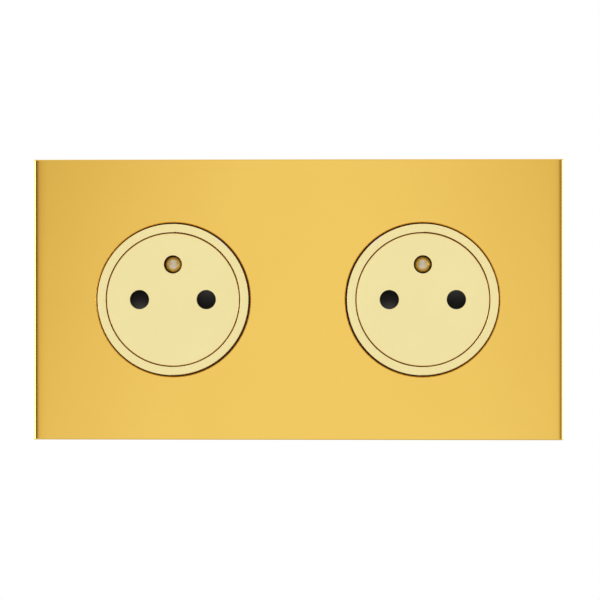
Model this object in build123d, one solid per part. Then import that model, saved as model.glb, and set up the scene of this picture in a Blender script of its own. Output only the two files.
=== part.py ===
from build123d import *
import os

# Flush double wall socket: one brass plate over two earthed outlets whose faces sink under the plug.
# Sizes are in millimetres. X runs right along the plate, Z up, Y into the wall, and Y = 0 is the wall.
# The origin is midway between the outlets. The pieces of an outlet are drawn about its own axis,
# with their depths measured along Y, and are then moved out to the left and to the right.

# Plug, wiring and wall boxes that the outlets take
PIN_SPACING = 19.0
PIN_DIAMETER = 4.8
PIN_LENGTH = 19.0
PIN_HOLE_PLAY = 0.6
PIN_PASSAGE_PLAY = 1.2
PLUG_DEPTH = 15.0
EARTH_PIN_DIAMETER = 4.8
EARTH_PIN_HEIGHT = 10.0
EARTH_PIN_REACH = 14.0
EARTH_HOLE_PLAY = 0.4
WIRE_HOLE_DIAMETER = 4.2
BOX_SCREW_SPACING = 60.0
BOX_SCREW_SLOT_WIDTH = 4.4
BOX_SCREW_SLOT_LENGTH = 7.0
BOX_SCREW_SLOT_LAND = 4.0

# Front plate
PLATE_DEPTH = 7.0
PLATE_FACE_WALL = 2.0
PLATE_RIM_WALL = 2.0
PLATE_END_RADIUS = 1.2
PLATE_EDGE_RADIUS = 0.3
PLATE_POCKET_RADIUS = 3.0
OPENING_BREAK = 0.25
OPENING_SHIFT = 0.12

# Clip frame bonded into the plate, and its spring fingers
CLIP_SHEET = 1.2
CLIP_PLAY = 0.2
CLIP_WELL_GAP = 0.6
FINGER_WIDTH = 6.0
FINGER_THICKNESS = 1.0
FINGER_GAP = 0.2
FINGER_ROOM = 1.15
NOSE_HEIGHT = 1.0

# Support frame, its folded tabs for the fingers and its bent lugs for the outlets
FRAME_SHEET = 1.2
FRAME_BEND = 1.0
FRAME_BAR = 13.0
FRAME_END = 2.5
FRAME_END_GAP = 2.0
FRAME_CORNER_RADIUS = 3.0
FRAME_WELL_GAP = 0.5
TAB_WIDTH = 11.0
TAB_TIP_GAP = 0.3
TAB_WINDOW_GAP = 0.2
LUG_WIDTH = 5.0
LUG_HEIGHT = 12.0
LUG_LAP = 2.4
LUG_PLAY = 0.25

# Trim ring and face disc
MOUTH_DIAMETER = 38.2
FACE_PROUD = 0.2
DISC_GAP = 0.25
DISC_SHEET = 0.6
DISC_EDGE = 0.15
FACE_HOLE_DIAMETER = 5.5
SLEEVE_WALL = 0.35
SLEEVE_LENGTH = 1.8
SLEEVE_FIT = 0.1
TRIM_WIDTH = 2.4
TRIM_SHEET = 1.0
TRIM_SKIRT = 0.45
TRIM_SKIRT_GAP = 0.2
TRIM_EDGE = 0.2
TRIM_SEAT = 0.05
PLATE_GAP = 0.4

# Carrier that slides in the well under the face disc
LIP_GAP = 0.3
CARRIER_WALL = 2.5
CARRIER_SKIRT = 1.6
CARRIER_RUN = 0.3
SHUTTER_ROOM = 4.9
LID_WALL = 1.5
LID_FIT = 0.15
GUIDE_WALL = 1.2
POST_DIAMETER = 3.8
LID_BOSS_DIAMETER = 6.0
LID_BOSS_LENGTH = 1.5
CARRIER_SCREW_DIAMETER = 2.2
CARRIER_SCREW_HEAD = 3.8
CARRIER_SCREW_HEAD_HEIGHT = 1.2
CARRIER_SCREW_GRIP = 3.6

# Turning shutter and its hairpin spring
SHUTTER_GAP = 0.2
SHUTTER_THICKNESS = 3.4
SHUTTER_LAP = 0.25
SHUTTER_EDGE = 0.6
SHUTTER_RUN = 0.15
HUB_DIAMETER = 7.2
STOP_DIAMETER = 2.0
STOP_GAP = 0.15
HAIRPIN_WIRE = 0.5
HAIRPIN_RADIUS = 2.6
HAIRPIN_LEG = 8.0
HAIRPIN_GAP = 0.3
NIB_DIAMETER = 0.8
NIB_INSET = 1.5
NIB_SEAT = 0.02

# Well body with its corner bosses, and the floor behind it
NECK_WALL = 0.7
WELL_WALL = 1.7
NECK_SHOULDER_GAP = 0.4
WELL_FLANGE_LAP = 3.5
WELL_FLANGE_SHEET = 1.4
WELL_FLANGE_RADIUS = 3.0
BOSS_DIAMETER = 6.0
BOSS_LAP = 0.25
FLOOR_GAP = 0.3
FLOOR_WALL = 1.6
EARTH_SEAT = 0.05
CUP_WALL = 1.0
CUP_REAR_GAP = 2.0
CUP_GAP = 0.6

# Return spring, and the flats that stand for the round wire of both springs
WIRE_SIDES = 6
SPRING_WIRE = 0.8
SPRING_TURNS = 7
SPRING_PLAY = 0.7
SPRING_SEAT = 0.05

# Contacts, earth pin and earth strap
CONTACT_SHEET = 0.8
CONTACT_GRIP = 0.1
CONTACT_PLAY = 1.1
CONTACT_REACH = 2.1
CONTACT_LENGTH = 8.0
CONTACT_FLARE = 0.25
CONTACT_FLARE_LENGTH = 1.4
CONTACT_GAP = 0.3
LEG_WIDTH = 5.6
FOOT_INSET = 0.5
EARTH_TIP_RADIUS = 1.2
EARTH_COLLAR_DIAMETER = 7.2
EARTH_COLLAR_LENGTH = 1.4
EARTH_TAIL_DIAMETER = 3.8
EARTH_RIVET_DIAMETER = 5.2
EARTH_RIVET_LENGTH = 0.8
STRAP_WIDTH = 4.0
STRAP_EYE_DIAMETER = 6.8
STRAP_TAB_LENGTH = 6.4

# Wire clamps and their screws
TERMINAL_OFFSET = 2.0
TERMINAL_RECESS = 1.7
CLAMP_WIDTH = 7.0
CLAMP_HEIGHT = 7.5
CLAMP_FRONT_GAP = 0.6
CLAMP_REAR_GAP = 0.4
CLAMP_WIRE_DEPTH = 7.0
CLAMP_SCREW_DIAMETER = 3.4
CLAMP_SCREW_HEAD = 6.0
CLAMP_SCREW_HEAD_HEIGHT = 2.0
CLAMP_SCREW_LIFT = 0.4
CLAMP_SCREW_TIP = 0.6
SCREW_SLOT_WIDTH = 0.8
SCREW_SLOT_DEPTH = 0.9
THREAD_GAP = 0.05

# Terminal base, rear cover and the screws that hold them
BASE_CORNER_RADIUS = 5.0
PIN_END_ROOM = 2.0
CHAMBER_GAP = 0.4
ACCESS_PLAY = 0.8
COVER_WALL = 2.0
WIRE_ENTRY_PLAY = 0.2
WIRE_ENTRY_FUNNEL = 0.5
HOUSING_SCREW_DIAMETER = 2.6
HOUSING_SCREW_HEAD = 5.2
HOUSING_SCREW_HEAD_HEIGHT = 1.6
HOUSING_SCREW_PLAY = 0.4
HOUSING_SCREW_GRIP = 8.0
HOUSING_SCREW_END_ROOM = 1.0

# Radii about an outlet's axis, from the mouth outwards
pin_x = PIN_SPACING / 2
pin_hole_radius = (PIN_DIAMETER + PIN_HOLE_PLAY) / 2
pin_passage_radius = (PIN_DIAMETER + PIN_PASSAGE_PLAY) / 2
earth_hole_radius = (EARTH_PIN_DIAMETER + EARTH_HOLE_PLAY) / 2
sleeve_radius = earth_hole_radius + SLEEVE_WALL
mouth_radius = MOUTH_DIAMETER / 2
disc_radius = mouth_radius - DISC_GAP
trim_radius = mouth_radius + TRIM_WIDTH
opening_radius = trim_radius + PLATE_GAP
neck_radius = trim_radius - TRIM_SKIRT - TRIM_SEAT
bore_radius = neck_radius - NECK_WALL
carrier_radius = bore_radius - CARRIER_RUN
cavity_radius = carrier_radius - CARRIER_SKIRT
well_radius = bore_radius + WELL_WALL
cup_radius = min(
    EARTH_PIN_HEIGHT - EARTH_COLLAR_DIAMETER / 2 - CUP_GAP,
    pin_x - CONTACT_REACH - CHAMBER_GAP - CUP_GAP,
)
cup_bore_radius = cup_radius - CUP_WALL
spring_radius = cup_bore_radius - SPRING_PLAY

# Outlets side by side, the frame around them and the plate over the frame
outlet_pitch = BOX_SCREW_SPACING + BOX_SCREW_SLOT_LENGTH + BOX_SCREW_SLOT_LAND
frame_opening = 2 * (well_radius + FRAME_WELL_GAP)
flange_size = frame_opening + 2 * WELL_FLANGE_LAP
frame_length = outlet_pitch + BOX_SCREW_SPACING + BOX_SCREW_SLOT_LENGTH + 2 * FRAME_END
frame_height = frame_opening + 2 * FRAME_BAR
finger_z = frame_height / 2 + FINGER_GAP
pocket_length = frame_length + 2 * FRAME_END_GAP
pocket_height = 2 * (finger_z + FINGER_THICKNESS + FINGER_ROOM)
plate_length = pocket_length + 2 * PLATE_RIM_WALL
plate_height = pocket_height + 2 * PLATE_RIM_WALL

# Depths along Y, from the face into the wall
plate_front = -PLATE_DEPTH
pocket_front = plate_front + PLATE_FACE_WALL
clip_back = pocket_front + CLIP_SHEET
face_front = plate_front - FACE_PROUD
disc_back = face_front + DISC_SHEET
sleeve_back = disc_back + SLEEVE_LENGTH
lip_back = face_front + TRIM_SHEET
neck_back = pocket_front + NECK_SHOULDER_GAP
frame_front = -FRAME_SHEET
flange_front = frame_front - WELL_FLANGE_SHEET
carrier_shoulder = lip_back + LIP_GAP
carrier_wall_back = disc_back + CARRIER_WALL
shutter_front = carrier_wall_back + SHUTTER_GAP
shutter_back = shutter_front + SHUTTER_THICKNESS
lid_front = carrier_wall_back + SHUTTER_ROOM
lid_back = lid_front + LID_WALL
lid_boss_back = lid_back + LID_BOSS_LENGTH
floor_front = lid_back + PLUG_DEPTH + FLOOR_GAP
floor_back = floor_front + FLOOR_WALL
base_back = face_front + PLUG_DEPTH + PIN_LENGTH + PIN_END_ROOM
cup_back = base_back - CUP_REAR_GAP
cup_seat = cup_back - CUP_WALL
clamp_front = floor_back + CLAMP_FRONT_GAP
clamp_back = base_back - CLAMP_REAR_GAP
clamp_middle = (clamp_front + clamp_back) / 2
contact_front = floor_back + CONTACT_GAP
contact_back = contact_front + CONTACT_LENGTH
strap_front = floor_back + EARTH_COLLAR_LENGTH
strap_back = strap_front + CONTACT_SHEET
cover_back = base_back + COVER_WALL

# Outlines seen from the front, with X across and Z up
flange_outline = RectangleRounded(flange_size, flange_size, WELL_FLANGE_RADIUS)
base_outline = RectangleRounded(2 * well_radius, 2 * well_radius, BASE_CORNER_RADIUS)

# Clamp block's place and edges and the contact's cheeks, on the line side, and the housing screws
terminal_x = pin_x + TERMINAL_OFFSET
clamp_outer = well_radius - TERMINAL_RECESS - CLAMP_SCREW_HEAD_HEIGHT - CLAMP_SCREW_LIFT
clamp_inner = clamp_outer - CLAMP_HEIGHT
terminal_z = (clamp_inner + clamp_outer) / 2
clamp_left = terminal_x - CLAMP_WIDTH / 2
clamp_right = terminal_x + CLAMP_WIDTH / 2
cheek_inside = (PIN_DIAMETER - CONTACT_GRIP) / 2
cheek_outside = cheek_inside + CONTACT_SHEET
web_left = pin_x + PIN_DIAMETER / 2 + CONTACT_PLAY
web_right = web_left + CONTACT_SHEET
boss_place = (well_radius + BOSS_DIAMETER / 2 - BOSS_LAP) / 2**0.5
housing_screw_places = ((-boss_place, boss_place), (boss_place, -boss_place))


def slab(outline, front, back):
    """Solid with this outline, seen from the front, between two depths."""
    plane = Plane(origin=(0, back, 0), x_dir=(1, 0, 0), z_dir=(0, -1, 0))
    return extrude(plane * outline, amount=back - front)


def rod(radius, front, back, x=0.0, z=0.0):
    """Round bar along Y."""
    return slab(Pos(x, z) * Circle(radius), front, back)


def block(x_range, depth_range, z_range):
    """Box between two planes each way."""
    low = Vector(x_range[0], depth_range[0], z_range[0])
    size = Vector(x_range[1], depth_range[1], z_range[1]) - low
    return Pos(low + size / 2) * Box(size.X, size.Y, size.Z)


def upright(radius, x, depth, bottom, top):
    """Round bar along Z."""
    return Pos(x, depth, (bottom + top) / 2) * Cylinder(radius, top - bottom)


def turned(*profile):
    """Body of revolution about Y, from points given as radius and depth."""
    return revolve(make_face(Polyline(*profile, close=True)), Axis.Y)


def pin_holes(radius, front, back):
    """Both pin holes as cutters."""
    return rod(radius, front, back, pin_x) + rod(radius, front, back, -pin_x)


def at_both_outlets(piece):
    """The piece at the left and at the right outlet."""
    return Pos(-outlet_pitch / 2, 0, 0) * piece + Pos(outlet_pitch / 2, 0, 0) * piece


def front_plate():
    """Brass plate, hollow behind, with rounded ends and two openings a little nearer than the outlets."""
    plate = slab(Rectangle(plate_length, plate_height), plate_front, 0)
    plate = fillet(plate.faces().sort_by(Axis.Y)[0].edges().filter_by(Axis.Z), PLATE_END_RADIUS)
    long_sides = plate.faces().filter_by(Axis.Z)
    rims = [edge for side in long_sides for edge in side.edges().sort_by(Axis.Y)[:-1]]
    plate = fillet(rims, PLATE_EDGE_RADIUS)
    plate -= slab(RectangleRounded(pocket_length, pocket_height, PLATE_POCKET_RADIUS), pocket_front, 0)
    opening = turned(
        (0, plate_front),
        (opening_radius + OPENING_BREAK, plate_front),
        (opening_radius, plate_front + OPENING_BREAK),
        (opening_radius, pocket_front),
        (0, pocket_front),
    )
    offset = outlet_pitch / 2 - OPENING_SHIFT
    return plate - Pos(-offset, 0, 0) * opening - Pos(offset, 0, 0) * opening


def clip_finger():
    """Spring finger at the top edge, with its nose in the tab's window."""
    half = FINGER_WIDTH / 2
    end = frame_front - TAB_WINDOW_GAP
    tip = finger_z + FINGER_THICKNESS
    nose_tip = frame_height / 2 - FRAME_SHEET
    finger = block((-half, half), (clip_back, end), (finger_z, tip))
    nose = Plane.YZ * make_face(
        Polyline(
            (end - NOSE_HEIGHT, finger_z),
            (end - NOSE_HEIGHT, nose_tip),
            (end - NOSE_HEIGHT / 2, nose_tip),
            (end, finger_z),
            close=True,
        )
    )
    return finger + Pos(-half, 0, 0) * extrude(nose, FINGER_WIDTH)


def clip_frame():
    """Plastic frame bonded behind the plate's face, with a finger above and below each outlet."""
    outline = RectangleRounded(
        pocket_length - 2 * CLIP_PLAY, pocket_height - 2 * CLIP_PLAY, PLATE_POCKET_RADIUS
    )
    frame = slab(outline, pocket_front, clip_back)
    frame -= at_both_outlets(rod(well_radius + CLIP_WELL_GAP, pocket_front, clip_back))
    finger = clip_finger()
    return frame + at_both_outlets(finger) + at_both_outlets(mirror(finger, Plane.XY))


def frame_tab():
    """Tab folded forward at the frame's top edge, with the window that the finger's nose enters."""
    top = frame_height / 2
    thickness = (top - FRAME_SHEET, top)
    half = TAB_WIDTH / 2
    window_half = FINGER_WIDTH / 2 + TAB_WINDOW_GAP
    nose_front = frame_front - TAB_WINDOW_GAP - NOSE_HEIGHT
    tab = block((-half, half), (clip_back + TAB_TIP_GAP, 0), thickness)
    return tab - block((-window_half, window_half), (nose_front - TAB_WINDOW_GAP, frame_front), thickness)


def tab_bend():
    """Corner that the round bend of a folded tab leaves free behind the frame's top edge."""
    inner = frame_height / 2 - FRAME_BEND
    corner = block((-TAB_WIDTH / 2, TAB_WIDTH / 2), (-FRAME_BEND, 0), (inner, frame_height / 2))
    return corner - Pos(0, -FRAME_BEND, inner) * Rot(0, 90, 0) * Cylinder(FRAME_BEND, TAB_WIDTH)


def frame_lugs():
    """Lugs that rise from the edges of an opening and are bent over the outlet's flange."""
    inside = frame_opening / 2
    outside = inside + FRAME_SHEET
    crest = flange_front - FRAME_SHEET
    profile = make_face(
        Polyline(
            (inside, 0),
            (inside, crest),
            (outside + LUG_LAP, crest),
            (outside + LUG_LAP, flange_front),
            (outside, flange_front),
            (outside, 0),
            close=True,
        )
    )
    bend = profile.vertices().sort_by_distance((inside, crest, 0))[0]
    lug = extrude(fillet(bend, FRAME_BEND), LUG_WIDTH / 2, both=True)
    right = Pos(0, 0, LUG_HEIGHT) * lug + Pos(0, 0, -LUG_HEIGHT) * lug
    return right + mirror(right, Plane.YZ)


def support_frame():
    """Steel frame screwed to the wall boxes; it carries both outlets and takes the clip frame."""
    frame = slab(RectangleRounded(frame_length, frame_height, FRAME_CORNER_RADIUS), frame_front, 0)
    frame -= at_both_outlets(slab(Rectangle(frame_opening, frame_opening), frame_front, 0))
    screw_slot = slab(SlotOverall(BOX_SCREW_SLOT_LENGTH, BOX_SCREW_SLOT_WIDTH), frame_front, 0)
    for side in (-1, 1):
        frame -= at_both_outlets(Pos(side * BOX_SCREW_SPACING / 2, 0, 0) * screw_slot)
    tab = frame_tab()
    frame += at_both_outlets(tab + mirror(tab, Plane.XY) + frame_lugs())
    bend = tab_bend()
    return frame - at_both_outlets(bend + mirror(bend, Plane.XY))


def trim_ring():
    """Drawn ring with a skirt, pressed over the neck of the well; its lip keeps the carrier in."""
    profile = make_face(
        Polyline(
            (mouth_radius, face_front),
            (trim_radius, face_front),
            (trim_radius, neck_back - TRIM_SKIRT_GAP),
            (neck_radius + TRIM_SEAT, neck_back - TRIM_SKIRT_GAP),
            (neck_radius + TRIM_SEAT, lip_back),
            (mouth_radius, lip_back),
            close=True,
        )
    )
    profile = fillet(profile.vertices().group_by(Axis.Y)[0], TRIM_EDGE)
    return revolve(profile, Axis.Y)


def face_disc():
    """Thin metal face with the pin holes and, drawn inwards, the sleeve around the earth pin."""
    disc = turned(
        (0, face_front),
        (disc_radius - DISC_EDGE, face_front),
        (disc_radius, face_front + DISC_EDGE),
        (disc_radius, disc_back),
        (0, disc_back),
    )
    disc -= pin_holes(FACE_HOLE_DIAMETER / 2, face_front, disc_back)
    disc += rod(sleeve_radius, disc_back, sleeve_back, z=EARTH_PIN_HEIGHT)
    return disc - rod(earth_hole_radius, face_front, sleeve_back, z=EARTH_PIN_HEIGHT)


def disc_carrier():
    """Cup under the face, with the earth pin's guide, the shutter's post and its two stops."""
    carrier = turned(
        (0, disc_back),
        (disc_radius, disc_back),
        (disc_radius, carrier_shoulder),
        (carrier_radius, carrier_shoulder),
        (carrier_radius, lid_back),
        (cavity_radius, lid_back),
        (cavity_radius, carrier_wall_back),
        (0, carrier_wall_back),
    )
    guide_radius = earth_hole_radius + GUIDE_WALL
    carrier += rod(guide_radius, carrier_wall_back, lid_front, z=EARTH_PIN_HEIGHT)
    carrier += rod(POST_DIAMETER / 2, carrier_wall_back, lid_front)
    stop_z = pin_hole_radius + SHUTTER_LAP + STOP_GAP + STOP_DIAMETER / 2
    for side in (-1, 1):
        carrier += rod(STOP_DIAMETER / 2, carrier_wall_back, shutter_back, side * pin_x, -side * stop_z)
    carrier -= pin_holes(pin_hole_radius, disc_back, carrier_wall_back)
    carrier -= rod(earth_hole_radius, disc_back, lid_front, z=EARTH_PIN_HEIGHT)
    carrier -= rod(sleeve_radius + SLEEVE_FIT, disc_back, sleeve_back + SLEEVE_FIT, z=EARTH_PIN_HEIGHT)
    screw_hole = CARRIER_SCREW_DIAMETER / 2 + THREAD_GAP
    return carrier - rod(screw_hole, lid_front - CARRIER_SCREW_GRIP, lid_front)


def carrier_back():
    """Lid of the carrier, with the boss that centres the return spring and the hairpin's anchor."""
    lid = rod(cavity_radius - LID_FIT, lid_front, lid_back)
    lid += rod(LID_BOSS_DIAMETER / 2, lid_back, lid_boss_back)
    lid += rod(NIB_DIAMETER / 2, shutter_back + HAIRPIN_GAP, lid_front, HAIRPIN_LEG - NIB_INSET, -nib_z())
    lid -= pin_holes(pin_passage_radius, lid_front, lid_back)
    lid -= rod(earth_hole_radius, lid_front, lid_back, z=EARTH_PIN_HEIGHT)
    lid -= rod(CARRIER_SCREW_DIAMETER / 2 + THREAD_GAP, lid_front, lid_boss_back)
    head_radius = CARRIER_SCREW_HEAD / 2 + THREAD_GAP
    return lid - rod(head_radius, lid_boss_back - CARRIER_SCREW_HEAD_HEIGHT, lid_boss_back)


def carrier_screw():
    """Screw through the lid into the post."""
    head_front = lid_boss_back - CARRIER_SCREW_HEAD_HEIGHT
    screw = rod(CARRIER_SCREW_DIAMETER / 2, lid_front - CARRIER_SCREW_GRIP + THREAD_GAP, head_front)
    screw += rod(CARRIER_SCREW_HEAD / 2, head_front, lid_boss_back)
    slot = Rectangle(CARRIER_SCREW_HEAD, SCREW_SLOT_WIDTH)
    return screw - slab(slot, lid_boss_back - CARRIER_SCREW_HEAD_HEIGHT / 2, lid_boss_back)


def nib_z():
    """Height of the nibs that the hairpin's legs bear on."""
    return HAIRPIN_RADIUS - HAIRPIN_WIRE / 2 - NIB_SEAT - NIB_DIAMETER / 2


def shutter():
    """Rotor with two wings over the pin holes; opposite ramps turn it when both pins press at once."""
    half = pin_hole_radius + SHUTTER_LAP
    reach = pin_x + half
    ramp = Plane.YZ * make_face(
        Polyline(
            (shutter_front, half),
            (shutter_back, half),
            (shutter_back, -half),
            (shutter_back - SHUTTER_EDGE, -half),
            close=True,
        )
    )
    wing = extrude(ramp, reach) & rod(reach, shutter_front, shutter_back)
    rotor = rod(HUB_DIAMETER / 2, shutter_front, shutter_back) + wing + Rot(0, 180, 0) * wing
    nib_back = lid_front - HAIRPIN_GAP
    rotor += rod(NIB_DIAMETER / 2, shutter_back, nib_back, HAIRPIN_LEG - NIB_INSET, nib_z())
    return rotor - rod(POST_DIAMETER / 2 + SHUTTER_RUN, shutter_front, shutter_back)


def shutter_spring():
    """Hairpin wire around the post: one leg on the lid's nib, the other on the shutter's."""
    depth = (shutter_back + lid_front) / 2
    plane = Plane(origin=(0, depth, 0), x_dir=(1, 0, 0), z_dir=(0, -1, 0))
    upper = Line((HAIRPIN_LEG, HAIRPIN_RADIUS), (0, HAIRPIN_RADIUS))
    bend = ThreePointArc((0, HAIRPIN_RADIUS), (-HAIRPIN_RADIUS, 0), (0, -HAIRPIN_RADIUS))
    lower = Line((0, -HAIRPIN_RADIUS), (HAIRPIN_LEG, -HAIRPIN_RADIUS))
    path = plane * Wire([upper, bend, lower])
    section = Plane(origin=path @ 0, z_dir=path % 0) * RegularPolygon(HAIRPIN_WIRE / 2, WIRE_SIDES)
    return sweep(section, path=path)


def return_spring():
    """Coil spring between the floor's cup and the lid of the carrier."""
    start = lid_back + SPRING_WIRE / 2 + SPRING_SEAT
    length = cup_seat - SPRING_WIRE / 2 - SPRING_SEAT - start
    coil = Helix(
        pitch=length / SPRING_TURNS,
        height=length,
        radius=spring_radius - SPRING_WIRE / 2,
        center=(0, start, 0),
        direction=(0, 1, 0),
    )
    section = Plane(origin=coil @ 0, z_dir=coil % 0) * RegularPolygon(SPRING_WIRE / 2, WIRE_SIDES)
    return sweep(section, path=coil, is_frenet=True)


def well_body():
    """Moulded well, open behind: neck, flange on the support frame and bosses for the housing screws."""
    body = turned(
        (0, lip_back),
        (neck_radius, lip_back),
        (neck_radius, neck_back),
        (well_radius, neck_back),
        (well_radius, floor_front),
        (0, floor_front),
    )
    body += slab(flange_outline, flange_front, frame_front)
    screw_tip = floor_front - HOUSING_SCREW_GRIP
    pilot = HOUSING_SCREW_DIAMETER / 2 + THREAD_GAP
    for x, z in housing_screw_places:
        body += rod(BOSS_DIAMETER / 2, frame_front, floor_front, x, z)
        body -= rod(pilot, screw_tip - HOUSING_SCREW_END_ROOM, floor_front, x, z)
    body -= rod(bore_radius, lip_back, floor_front)
    lug_slot = block(
        (frame_opening / 2 - LUG_PLAY, frame_opening / 2 + FRAME_SHEET + LUG_PLAY),
        (flange_front, frame_front),
        (-LUG_WIDTH / 2 - LUG_PLAY, LUG_WIDTH / 2 + LUG_PLAY),
    )
    slots = Pos(0, 0, LUG_HEIGHT) * lug_slot + Pos(0, 0, -LUG_HEIGHT) * lug_slot
    return body - slots - mirror(slots, Plane.YZ)


def well_floor():
    """Moulded floor behind the well, with the spring cup, the pins' passages and the earth pin's seat."""
    floor = slab(base_outline, floor_front, floor_back) + rod(cup_radius, floor_back, cup_back)
    floor -= rod(cup_bore_radius, floor_front, cup_seat)
    floor -= pin_holes(pin_passage_radius, floor_front, floor_back)
    floor -= rod(EARTH_PIN_DIAMETER / 2 + EARTH_SEAT, floor_front, floor_back, z=EARTH_PIN_HEIGHT)
    return floor - housing_screw_holes(floor_front, floor_back)


def housing_screw_holes(front, back):
    """Holes for the housing screws as cutters."""
    radius = (HOUSING_SCREW_DIAMETER + HOUSING_SCREW_PLAY) / 2
    return Part() + [rod(radius, front, back, x, z) for x, z in housing_screw_places]


def earth_pin():
    """Turned pin with a rounded tip, a collar behind the floor and a riveted tail."""
    radius = EARTH_PIN_DIAMETER / 2
    tip = face_front + PLUG_DEPTH - EARTH_PIN_REACH
    pin = rod(radius, tip, floor_back)
    pin = fillet(pin.edges().group_by(Axis.Y)[0], EARTH_TIP_RADIUS)
    pin += rod(EARTH_COLLAR_DIAMETER / 2, floor_back, strap_front)
    pin += rod(EARTH_TAIL_DIAMETER / 2, strap_front, strap_back)
    pin += rod(EARTH_RIVET_DIAMETER / 2, strap_back, strap_back + EARTH_RIVET_LENGTH)
    return Pos(0, 0, EARTH_PIN_HEIGHT) * pin


def earth_strap():
    """Bent strip from the earth pin's tail to the side of the earth clamp."""
    eye = Pos(0, EARTH_PIN_HEIGHT) * Circle(STRAP_EYE_DIAMETER / 2)
    bar_bottom = clamp_inner
    bar = Pos(clamp_left / 2, bar_bottom + STRAP_WIDTH / 2) * Rectangle(clamp_left, STRAP_WIDTH)
    hole = Pos(0, EARTH_PIN_HEIGHT) * Circle(EARTH_TAIL_DIAMETER / 2 + EARTH_SEAT)
    strap = slab(eye + bar - hole, strap_front, strap_back)
    tab = block(
        (clamp_left - CONTACT_SHEET, clamp_left),
        (strap_front, strap_front + STRAP_TAB_LENGTH),
        (bar_bottom, clamp_outer - FOOT_INSET),
    )
    return strap + tab


def pin_contact():
    """Sprung clip for the line pin, flared at its mouth, with a leg and a foot on the line clamp."""
    throat = contact_front + CONTACT_FLARE_LENGTH
    profile = Plane.YZ * make_face(
        Polyline(
            (contact_front, cheek_inside + CONTACT_FLARE),
            (contact_front, cheek_outside + CONTACT_FLARE),
            (throat, cheek_outside),
            (contact_back, cheek_outside),
            (contact_back, cheek_inside),
            (throat, cheek_inside),
            close=True,
        )
    )
    cheek_left = pin_x - CONTACT_REACH
    cheek = Pos(cheek_left, 0, 0) * extrude(profile, web_right - cheek_left)
    web = block((web_left, web_right), (contact_front, contact_back), (-cheek_outside, cheek_outside))
    contact = web + cheek + mirror(cheek, Plane.XY)
    leg_depth = (clamp_middle - LEG_WIDTH / 2, clamp_middle + LEG_WIDTH / 2)
    foot_top = CONTACT_SHEET - clamp_inner
    contact += block((web_left, web_right), leg_depth, (-clamp_inner, -cheek_outside))
    return contact + block((clamp_left + FOOT_INSET, web_right), leg_depth, (-clamp_inner, foot_top))


def wire_clamp():
    """Clamp block on the line side: the wire enters from behind and a screw presses it."""
    clamp = block((clamp_left, clamp_right), (clamp_front, clamp_back), (-clamp_outer, -clamp_inner))
    wire_radius = WIRE_HOLE_DIAMETER / 2
    clamp -= rod(wire_radius, clamp_back - CLAMP_WIRE_DEPTH, clamp_back, terminal_x, -terminal_z)
    thread = CLAMP_SCREW_DIAMETER / 2 + THREAD_GAP
    return clamp - upright(thread, terminal_x, clamp_middle, -clamp_outer, -terminal_z)


def clamp_screw():
    """Slotted screw of the line clamp, opened a little."""
    under_head = -clamp_outer - CLAMP_SCREW_LIFT
    head_end = under_head - CLAMP_SCREW_HEAD_HEIGHT
    tip = -terminal_z - WIRE_HOLE_DIAMETER / 2 + CLAMP_SCREW_TIP
    screw = upright(CLAMP_SCREW_DIAMETER / 2, terminal_x, clamp_middle, under_head, tip)
    screw += upright(CLAMP_SCREW_HEAD / 2, terminal_x, clamp_middle, head_end, under_head)
    slot = Box(CLAMP_SCREW_HEAD, SCREW_SLOT_WIDTH, SCREW_SLOT_DEPTH)
    return screw - Pos(terminal_x, clamp_middle, head_end + SCREW_SLOT_DEPTH / 2) * slot


def terminal_screws():
    """The three clamp screws: line, neutral and earth."""
    line = clamp_screw()
    return line + mirror(line, Plane.YZ) + mirror(line, Plane.XY)


def line_chambers():
    """Room in the base for the line contact, its leg, the clamp and the screw."""
    depth = (floor_back, base_back)
    contact_room_half = cheek_outside + CONTACT_FLARE + CHAMBER_GAP
    contact_room = block(
        (pin_x - CONTACT_REACH - CHAMBER_GAP, web_right + CHAMBER_GAP),
        depth,
        (-contact_room_half, contact_room_half),
    )
    leg_room = block(
        (web_left - CHAMBER_GAP, web_right + CHAMBER_GAP), depth, (-clamp_inner, -cheek_outside)
    )
    return contact_room + leg_room + clamp_room()


def clamp_room():
    """Room in the base for the line clamp, its foot and the way to its screw."""
    room = block(
        (clamp_left - CHAMBER_GAP, clamp_right + CHAMBER_GAP),
        (floor_back, base_back),
        (-clamp_outer - CHAMBER_GAP, CONTACT_SHEET + CHAMBER_GAP - clamp_inner),
    )
    access = (CLAMP_SCREW_HEAD + ACCESS_PLAY) / 2
    return room + upright(access, terminal_x, clamp_middle, -well_radius, -clamp_outer)


def terminal_base():
    """Moulded block behind the floor, with a chamber for each live piece."""
    base = slab(base_outline, floor_back, base_back)
    base -= rod(cup_radius + CHAMBER_GAP, floor_back, base_back)
    line_side = line_chambers()
    base -= line_side
    base -= mirror(line_side, Plane.YZ)
    base -= mirror(clamp_room(), Plane.XY)
    eye_room = max(EARTH_COLLAR_DIAMETER, STRAP_EYE_DIAMETER) / 2 + CHAMBER_GAP
    base -= rod(eye_room, floor_back, base_back, z=EARTH_PIN_HEIGHT)
    base -= block(
        (0, clamp_left),
        (floor_back, base_back),
        (clamp_inner - CHAMBER_GAP, clamp_outer + CHAMBER_GAP),
    )
    return base - housing_screw_holes(floor_back, base_back)


def rear_cover():
    """Flat cover behind the base, with a funnelled entry for each wire."""
    cover = slab(base_outline, base_back, cover_back)
    radius = WIRE_HOLE_DIAMETER / 2 + WIRE_ENTRY_PLAY
    entry = turned(
        (0, base_back),
        (radius, base_back),
        (radius, cover_back - WIRE_ENTRY_FUNNEL),
        (radius + WIRE_ENTRY_FUNNEL, cover_back),
        (0, cover_back),
    )
    for x, z in ((terminal_x, -terminal_z), (-terminal_x, -terminal_z), (terminal_x, terminal_z)):
        cover -= Pos(x, 0, z) * entry
    return cover - housing_screw_holes(base_back, cover_back)


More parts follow.
